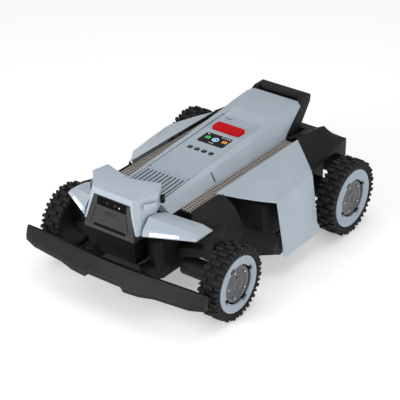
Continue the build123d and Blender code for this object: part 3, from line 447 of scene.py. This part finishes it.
for node_name, width in ROUNDS.items():
    piece = rounded(node_name, width, materials=PLAIN_EDGES.get(node_name),
                    soft=saddle_crease if node_name.startswith("saddle") else None)
    if node_name == "nose_face":
        piece.data.materials.append(CHIN_BLACK)
        for face in piece.data.polygons:
            if face.center.z < CHIN_TOP * MM and face.normal.y < 0.5:
                face.material_index = 2
print("rounded", len(ROUNDS), "covers")

# %% [markdown]
# ## Wheels
# A garden robot's tyre is a hard rubber ring with self-cleaning lugs: cross bars in the middle and
# knobs over both shoulders, half a pitch apart, so that one always bites. The carcass is a rounded
# rectangle spun about the axle, the way a mould is turned on a lathe. One lug is shaped once, copied
# around, and joined to it.

# %% Turning tool
def turned(x0, x1, r0, r1, round_mm, name, steps=96):
    """A ring about the X axis: a rounded rectangle spun once around."""
    bpy.ops.object.select_all(action="DESELECT")
    bpy.ops.mesh.primitive_plane_add(size=1, location=((x0 + x1) / 2 * MM, 0, (r0 + r1) / 2 * MM),
                                     rotation=(pi / 2, 0, 0))
    ring = bpy.context.object
    ring.scale = ((x1 - x0) * MM, (r1 - r0) * MM, 1)
    settle(ring, name)
    edit(ring)
    bpy.ops.mesh.select_all(action="SELECT")
    bpy.ops.mesh.bevel(affect="VERTICES", offset=round_mm * MM, segments=4)
    bpy.ops.mesh.delete(type="ONLY_FACE")
    bpy.ops.mesh.select_all(action="SELECT")
    bpy.ops.mesh.spin(steps=steps, angle=2 * pi, center=(0, 0, 0), axis=(1, 0, 0))
    bpy.ops.mesh.select_all(action="SELECT")
    bpy.ops.mesh.remove_doubles(threshold=0.02 * MM)
    bpy.ops.mesh.normals_make_consistent(inside=False)
    close_edit()
    return ring


def around(piece, count, start_deg, name):
    """Copies of a piece around the X axis, joined; the first is turned by start_deg."""
    twins = []
    for number in range(count):
        twin = copy_of(piece, name)
        twin.data.transform(Matrix.Rotation(radians(start_deg + number * 360 / count), 4, "X"))
        twins.append(twin)
    bpy.data.objects.remove(piece)
    return joined(twins, name)


# %% Shape the tyre
LUG_ROWS = 20
LUG_DEEP = 8.0
HALF_WIDTH = 28
RIM_SHARE = 0.765               # rim radius over tyre radius


def lug(x0, x1, radius, long_mm, taper):
    """One rubber lug standing on top of the tyre, narrower at its crown."""
    piece = block((x0 * MM, -long_mm / 2 * MM, (radius - LUG_DEEP - 2) * MM),
                  (x1 * MM, long_mm / 2 * MM, radius * MM))
    edit(piece)
    pick_faces(piece, lambda centre, normal: normal.z > 0.9)
    bpy.ops.transform.resize(value=(taper, 0.72, 1), center_override=((x0 + x1) / 2 * MM, 0, radius * MM))
    close_edit()
    coat(piece, RUBBER, RUBBER_EDGE_HIGHLIGHT_AND_SCUFF)
    modify(piece, "BEVEL", width=1.3 * MM, segments=2, limit_method="ANGLE", angle_limit=radians(30),
           material=1)
    return piece


def tyre(radius):
    """Carcass, side wall ribs and three rows of lugs."""
    carcass = turned(-HALF_WIDTH, HALF_WIDTH, radius * RIM_SHARE, radius - LUG_DEEP, 6.5, "tyre")
    coat(carcass, RUBBER, RUBBER_EDGE_HIGHLIGHT_AND_SCUFF)
    parts = [carcass]
    for side in (1, -1):
        near, far = sorted((side * 26.5, side * 28.6))
        rib = turned(near, far, radius * 0.84, radius * 0.87, 0.6, "rib")
        parts.append(coat(rib, RUBBER, RUBBER_EDGE_HIGHLIGHT_AND_SCUFF))
    parts.append(around(lug(-12.5, 12.5, radius, 11.5, 0.92), LUG_ROWS, 0, "bars"))
    for x0, x1 in ((9.5, 29), (-29, -9.5)):
        knob = lug(x0, x1, radius - 0.3, 11, 0.9)
        parts.append(around(knob, LUG_ROWS, 180 / LUG_ROWS, "knobs"))
    for x0, x1 in ((19, 29), (-29, -19)):
        parts.append(around(lug(x0, x1, radius - 3.2, 8, 0.9), LUG_ROWS, 0, "feet"))
    piece = joined(parts, "tyre")
    smooth(piece, 34)
    return piece


# %% [markdown]
# The rim is one nylon moulding: a pale face ring with four bayonet notches for the hub motor, and a
# dark barrel behind. Notches are sawn out of the ring with a cutter, as a boolean difference.

# %% Shape the rim
NOTCH_TURNS = (28, 118, 208, 298)


def rim(radius):
    """Face ring with notches, barrel and back web."""
    outer = radius * RIM_SHARE
    face = turned(21, 27.5, 53, outer, 1.6, "rim_face")
    for turn in NOTCH_TURNS:
        cutter = block((18 * MM, -9 * MM, 50 * MM), (30 * MM, 9 * MM, 61 * MM))
        cutter.data.transform(Matrix.Rotation(radians(turn), 4, "X"))
        modify(face, "BOOLEAN", object=cutter, operation="DIFFERENCE", solver="EXACT")
        bpy.data.objects.remove(cutter)
    coat(face, RIM_ABS, RIM_HIGHLIGHT)
    modify(face, "BEVEL", width=0.5 * MM, segments=2, limit_method="ANGLE", angle_limit=radians(40),
           material=1)
    groove = coat(turned(26.8, 27.9, outer - 3.4, outer - 1.2, 0.5, "rim_bead"), RIM_HIGHLIGHT)
    barrel_part = coat(turned(-27, 24, outer - 5, outer, 1.0, "rim_barrel"), BLACK_PP)
    web = coat(turned(-19, -14, 8.2, outer - 3, 0.8, "rim_web"), BLACK_PP)
    piece = joined([face, groove, barrel_part, web], "rim")
    smooth(piece, 34)
    return piece


# %% [markdown]
# The hub is the motor's round cover: a lacquered casting with a bright turned bevel, a shallow dish,
# five socket screws and a cap over the axle nut.

# %% Shape the hub
HUB_RADIUS = 49
HUB_DEPTH = 38
SCREWS = 5
SCREW_CIRCLE = 38
FINS = 30
# how far in each ring of the hub's face goes, and how far it steps outwards
HUB_RINGS = [(4.5, 0.0), (2.0, -1.6), (13.0, 0.4), (7.5, 0.0), (1.2, -1.8), (4.0, 3.4), (7.5, -2.2)]


def hub():
    """Hub cover made from one cylinder by insetting and moving its outer face."""
    cover = barrel((4 * MM, 0, 0), (1, 0, 0), HUB_RADIUS * MM, HUB_DEPTH * MM, 96)
    edit(cover)
    for inset, step in HUB_RINGS:
        pick_faces(cover, lambda centre, normal: normal.x > 0.99 and centre.yz.length < 0.5 * MM)
        bpy.ops.mesh.inset(thickness=inset * MM, depth=0)
        bpy.ops.transform.translate(value=(step * MM, 0, 0))
    close_edit()
    coat(cover, HUB_METAL, HUB_EDGE)
    modify(cover, "BEVEL", width=0.55 * MM, segments=2, limit_method="ANGLE", angle_limit=radians(25),
           material=1)
    screw = barrel((22.2 * MM, 0, SCREW_CIRCLE * MM), (1, 0, 0), 3.4 * MM, 3 * MM, 24)
    edit(screw)
    pick_faces(screw, lambda centre, normal: normal.x > 0.9)
    bpy.ops.mesh.inset(thickness=1.5 * MM, depth=0)
    bpy.ops.transform.translate(value=(-1.6 * MM, 0, 0))
    close_edit()
    coat(screw, STEEL)
    modify(screw, "BEVEL", width=0.3 * MM, segments=2, limit_method="ANGLE", angle_limit=radians(40))
    fin = coat(block((20 * MM, -1.1 * MM, 40 * MM), (21.6 * MM, 1.1 * MM, 43 * MM)), HUB_METAL)
    piece = joined([cover, around(screw, SCREWS, 18, "screws"), around(fin, FINS, 0, "ribs")], "hub")
    smooth(piece, 30)
    return piece


# %% [markdown]
# Each wheel part is made once for the front size and once for the rear size, then copied to its four
# places. The right-hand copies are mirrored, so that the face with the screws looks outwards.

# %% Set the wheels in place
MAKERS = {"tyre": tyre, "rim": rim, "hub": lambda radius: hub()}
for end in ("front", "rear"):
    radius = round(middle(f"tyre_{end}_left").z / MM)
    for kind, make in MAKERS.items():
        model = make(radius)
        for name, side in SIDES:
            node_name = f"{kind}_{end}_{name}"
            piece = copy_of(model, f"{node_name}_shaped")
            if side < 0:
                piece.data.transform(Matrix.Scale(-1, 4, (1, 0, 0)))
                piece.data.flip_normals()
            piece.data.transform(Matrix.Translation(middle(f"tyre_{end}_{name}")))
            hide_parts(node_name)
            mount(piece, BODY_OF[node_name])
        bpy.data.objects.remove(model)
print("wheels shaped")

# %% [markdown]
# ## The control panel
# Behind the grille the strip carries four keys, a glass display and the stop bar. Display graphics are
# printed under the glass, so each one is a thin slip just above it; the shapes are generic ones: a
# battery, a drop, two blocks and a row of status marks.

# %% Panel tools
PANEL_LOW = Vector(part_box("control_panel")[0])
PANEL_THICK = 2.6
TILT = radians(3.5)


def on_panel(x, along_mm, lift):
    """A point above the control strip: x, distance behind its front edge and lift, in mm."""
    start = Vector((0, PANEL_LOW.y, PANEL_LOW.z + PANEL_THICK * MM * cos(TILT)))
    back_mm = along_mm * cos(TILT) - lift * sin(TILT)
    up_mm = along_mm * sin(TILT) + lift * cos(TILT)
    return start + Vector((x, back_mm, up_mm)) * MM


def slip(x, along_mm, wide, deep, lift, thick, finish, round_mm=0.0, body="chassis"):
    """A thin rounded plate lying on the control strip."""
    bpy.ops.object.select_all(action="DESELECT")
    bpy.ops.mesh.primitive_cube_add(size=1)
    piece = bpy.context.object
    piece.scale = (wide * MM, deep * MM, thick * MM)
    settle(piece, "slip")
    if round_mm:
        edit(piece)
        bpy.ops.mesh.select_mode(type="EDGE")
        bpy.ops.mesh.select_all(action="DESELECT")
        mesh = bmesh.from_edit_mesh(piece.data)
        for edge in mesh.edges:
            upright = abs(edge.verts[0].co.z - edge.verts[1].co.z) > 0.5 * thick * MM
            edge.select_set(upright)
        bmesh.update_edit_mesh(piece.data)
        bpy.ops.mesh.bevel(offset=round_mm * MM, segments=6)
        close_edit()
    piece.data.transform(Matrix.Rotation(TILT, 4, "X"))
    piece.data.transform(Matrix.Translation(on_panel(x, along_mm, lift)))
    coat(piece, finish)
    smooth(piece, 30)
    return mount(piece, body)


# %% Display graphics
DISPLAY_PLACE = 198.0           # display's middle, behind the strip's front edge
LIFT = 0.42
PRINT_THICK = 0.2
ICON_ROW = 2
STATUS_ROW = 19.5
# x, place along the display, width, depth, finish and corner round of each printed mark
DISPLAY_MARKS = [
    (-24, ICON_ROW, 15, 11, ICON_GREEN, 1.5), (-24, 8.6, 6, 2.4, ICON_GREEN, 0.6),
    (26, ICON_ROW, 6.5, 12, ICON_ORANGE, 1.0), (34, ICON_ROW, 5.5, 12, ICON_ORANGE, 1.0),
    (12, STATUS_ROW, 4, 3, ICON_GREY, 1.2), (20, STATUS_ROW, 4, 3, ICON_GREY, 1.2),
    (27, STATUS_ROW, 4, 3, ICON_GREY, 1.2), (34, STATUS_ROW, 5, 3, ICON_GREY, 1.2),
    (0, -18, 16, 1.4, ICON_GREY, 0.5), (-33, STATUS_ROW, 6, 3, ICON_GREY, 1.0),
]
for index, (x, along_mm, wide, deep, finish, round_mm) in enumerate(DISPLAY_MARKS):
    mark = slip(x, DISPLAY_PLACE + along_mm, wide, deep, LIFT, PRINT_THICK, finish, round_mm)
    mark.name = f"display_mark_{index + 1}"
for name, finish, outer, lift in (("dial_ring", ICON_BLUE, 9.5, LIFT),
                                  ("dial_well", GLOSS, 6.2, LIFT + 0.1)):
    disc = barrel((0, 0, 0), (0, 0, 1), outer * MM, PRINT_THICK * MM, 40)
    disc.data.transform(Matrix.Rotation(TILT, 4, "X"))
    disc.data.transform(Matrix.Translation(on_panel(1, DISPLAY_PLACE + 1, lift)))
    disc.name = name
    mount(coat(disc, finish), "chassis")
drop = slip(1, DISPLAY_PLACE - 0.5, 4.6, 6.5, LIFT + 0.2, PRINT_THICK, ICON_BLUE, 2.0)
drop.name = "dial_drop"

# %% [markdown]
# Each key carries a plain sign: a stop square, two pause bars, a plus and an equals. They are
# pad-printed, so they move with their key. A small smoked window sits behind the stop bar.

# %% Key glyphs, status window and the strip's seams
KEY_PLACE = 135
KEY_MIDDLES = [middle(f"key_{number}").x / MM for number in range(1, 5)]
GLYPHS = [
    [(0, 0, 3.6, 3.6)],
    [(-1.3, 0, 1.1, 3.8), (1.3, 0, 1.1, 3.8)],
    [(0, 0, 4.0, 1.1), (0, 0, 1.1, 4.0)],
    [(0, 1.2, 4.0, 1.0), (0, -1.2, 4.0, 1.0)],
]
SMOKED = surface("smoked_status_window", "#7d8791", "#6d7680", 0.25, 0.6, 0.0)
STATUS_X = -36
STATUS_PLACE = 309
SEAM_X = 64.6
SEAM_MIDDLE = 98
SEAM_LENGTH = 450
for number, marks in enumerate(GLYPHS):
    for index, (x, along_mm, wide, deep) in enumerate(marks):
        glyph = slip(KEY_MIDDLES[number] + x, KEY_PLACE + along_mm, wide, deep, 1.3, 0.24, GLYPH_GREY, 0.4,
                     body=f"key_{number + 1}")
        glyph.name = f"key_glyph_{number + 1}_{index + 1}"
slip(STATUS_X, STATUS_PLACE, 28, 10, 0.3, 0.8, COVER_EDGE_HIGHLIGHT_AND_WEAR, 2.5).name = "status_bezel"
window = slip(STATUS_X, STATUS_PLACE, 24, 6.4, 0.8, 0.3, SMOKED, 1.6)
window.name = "status_window"
# A thin lighter strip along the panel's front step: a painted highlight on the step's edge.
slip(4, 91, 106, 1.4, 0.15, 0.7, COVER_EDGE_HIGHLIGHT_AND_WEAR, 0.5).name = "panel_step_front_highlight"
for name, side in SIDES:
    seam = slip(side * SEAM_X, SEAM_MIDDLE, 1.9, SEAM_LENGTH, 0.08, 0.12, DARK_GAP)
    seam.name = f"panel_seam_{name}"
print("panel dressed")

# %% [markdown]
# ## Trim on the covers
# Light bars sit in the front bevel of each wing, a blue-grey sheet under the grille paints the shade in its
# slots, a dark strip paints the shade of a cable slit in the hood's flank, and the nose carries its lenses
# and the fine grooves around its face as dark strips.

# %% Trim tools
def strap(corners, thick_mm, finish, name, body="chassis", edge_mm=0.3):
    """A thin plate on four corners in mm behind the front axle, standing proud of a cover."""
    points = [Vector((x, y, z)) * MM + Vector((0, FRONT_AXLE_Y, 0)) for x, y, z in corners]
    bpy.ops.object.select_all(action="DESELECT")
    bpy.ops.mesh.primitive_plane_add(size=1)
    piece = bpy.context.object
    for vertex, point in zip(piece.data.vertices, (points[0], points[1], points[3], points[2])):
        vertex.co = point
    normal = (points[1] - points[0]).cross(points[3] - points[0]).normalized()
    edit(piece)
    bpy.ops.mesh.select_all(action="SELECT")
    bpy.ops.mesh.normals_make_consistent(inside=False)
    bpy.ops.mesh.extrude_region_move(TRANSFORM_OT_translate={"value": normal * thick_mm * MM})
    bpy.ops.mesh.select_all(action="SELECT")
    bpy.ops.mesh.normals_make_consistent(inside=False)
    close_edit()
    coat(piece, finish)
    modify(piece, "BEVEL", width=edge_mm * MM, segments=2, limit_method="ANGLE", angle_limit=radians(40))
    smooth(piece, 30)
    piece.name = name
    return mount(piece, body)


def mirrored_corners(corners, side):
    """The same corners on either side, kept in a turning order that faces outwards."""
    if side > 0:
        return corners
    flipped = [(-x, y, z) for x, y, z in corners]
    return [flipped[1], flipped[0], flipped[3], flipped[2]]


# %% [markdown]
# Corners go round each strap from its lower front: x, distance behind the front axle, height. The two
# large lenses look through the window beside one small sensor.

# %% Light bars, hood slit, lenses and grooves
WING_LIGHT = [(108, -131.2, 239), (170, -92.3, 235.2), (166, -92.6, 241), (108, -129, 246.5)]
HOOD_SLIT = [(98.1, 150.2, 262), (98.1, 153.6, 262), (83.3, 155.6, 284), (83.3, 152.2, 284)]
LENSES = [(-13.7, 294.5, 4.6), (11.3, 294.5, 4.6), (24, 292.7, 1.7)]
for name, side in SIDES:
    strap(mirrored_corners(WING_LIGHT, side), 1.0, WHITE_LIGHT, f"wing_light_{name}")
    # A dark strap on each hood flank: painted shade of a cable slit; nothing is cut.
    strap(mirrored_corners(HOOD_SLIT, side), 0.6, DARK_GAP, f"hood_slit_{name}",
          edge_mm=0.1)
LENS_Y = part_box("camera_window")[0].y - 0.3 * MM
for index, (x, z, radius) in enumerate(LENSES):
    glass = barrel((x * MM, LENS_Y, z * MM), (0, -1, 0), radius * MM, 1.0 * MM, 40)
    edit(glass)
    pick_faces(glass, lambda centre, normal: normal.y < -0.9)
    bpy.ops.mesh.inset(thickness=radius * 0.3 * MM, depth=0)
    bpy.ops.transform.translate(value=(0, 0.4 * MM, 0))
    close_edit()
    coat(glass, NICKEL if radius > 2 else ICON_GREY)
    smooth(glass, 30)
    glass.name = f"camera_lens_{index + 1}"
    mount(glass, "chassis")
FACE_LIP_Z = 224
FACE_SLOPE = 16 / 89            # the face leans back by 16 mm over its 89 mm of height


def face_y(z):
    """Distance of the nose face's front plane at a height, 0.2 mm proud."""
    return -155.2 + FACE_SLOPE * (z - FACE_LIP_Z)


# x of the low left, high left, low right and high right corner, then the low and the high height
FACE_MARKS = [
    (-50, -46, 50, 46, 228, 235.5),
    (-60, -47.5, -58.6, -46.1, 236, 279),
    (58.6, 46.1, 60, 47.5, 236, 279),
    (-24, -24, 15, 15, 271, 272.2),
    (-20, -20, 18, 18, 265.5, 266.7),
]
for index, (low_left, high_left, low_right, high_right, low, high) in enumerate(FACE_MARKS):
    strap([(low_left, face_y(low), low), (low_right, face_y(low), low), (high_right, face_y(high), high),
           (high_left, face_y(high), high)], 0.2, DARK_GAP, f"face_groove_{index + 1}", edge_mm=0.05)
# A thin blue-grey sheet just under the grille: painted shade seen through the louvre slots.
slip(0, -64, 126, 126, -PANEL_THICK - 0.08, 0.1, LOUVRE_SHADE).name = "grille_painted_shade"
print("trim fitted")

# %% [markdown]
# ## Floor, light and camera
# A product table: a pale floor, a white surround, one large soft lamp above and two fills.

# %% Studio
bpy.ops.object.select_all(action="DESELECT")
bpy.ops.mesh.primitive_plane_add(size=14, location=(0, 0, 0))
floor = bpy.context.object
floor.name = "studio_floor"
coat(floor, glow("studio_floor_paper", "#f6f6f6", 0.34))

world = bpy.data.worlds.new("studio_white") if not bpy.context.scene.world else bpy.context.scene.world
bpy.context.scene.world = world
world.use_nodes = True
world.node_tree.nodes["Background"].inputs["Color"].default_value = (1.0, 1.0, 1.0, 1.0)
world.node_tree.nodes["Background"].inputs["Strength"].default_value = 0.45


def softbox(name, place, aim, size, power):
    """A square area lamp."""
    lamp = bpy.data.lights.new(name, "AREA")
    lamp.size = size
    lamp.energy = power
    holder = bpy.data.objects.new(name, lamp)
    bpy.context.collection.objects.link(holder)
    holder.location = place
    holder.rotation_euler = (Vector(aim) - Vector(place)).to_track_quat("-Z", "Y").to_euler()


# place, point aimed at, side length in metres and power in watts
LAMPS = {
    "top_softbox": ((0.2, 0.3, 3.2), (0, 0, 0.1), 2.6, 27),
    "front_softbox": ((-0.9, -3.2, 1.3), (0, 0, 0.2), 1.6, 66),
    "side_softbox": ((3.2, -0.2, 1.3), (0, 0, 0.2), 1.4, 32),
}
for lamp_name, (place, aim, lamp_size, power) in LAMPS.items():
    softbox(lamp_name, place, aim, lamp_size, power)
bpy.context.scene.view_settings.view_transform = "Standard"

AIM = Vector((0.0423, -0.0650, 0.1861))
AZIMUTH = radians(36.796)
ELEVATION = radians(29.289)
DISTANCE = 4.0918
back = Vector((sin(AZIMUTH) * cos(ELEVATION), -cos(AZIMUTH) * cos(ELEVATION), sin(ELEVATION)))
camera = bpy.data.cameras.new("product_camera")
camera.lens = 141.84
camera.sensor_width = 36
holder = bpy.data.objects.new("product_camera", camera)
bpy.context.collection.objects.link(holder)
holder.location = AIM + back * DISTANCE
holder.rotation_euler = (-back).to_track_quat("-Z", "Y").to_euler()
bpy.context.scene.camera = holder
print("camera at", tuple(round(c, 3) for c in holder.location))
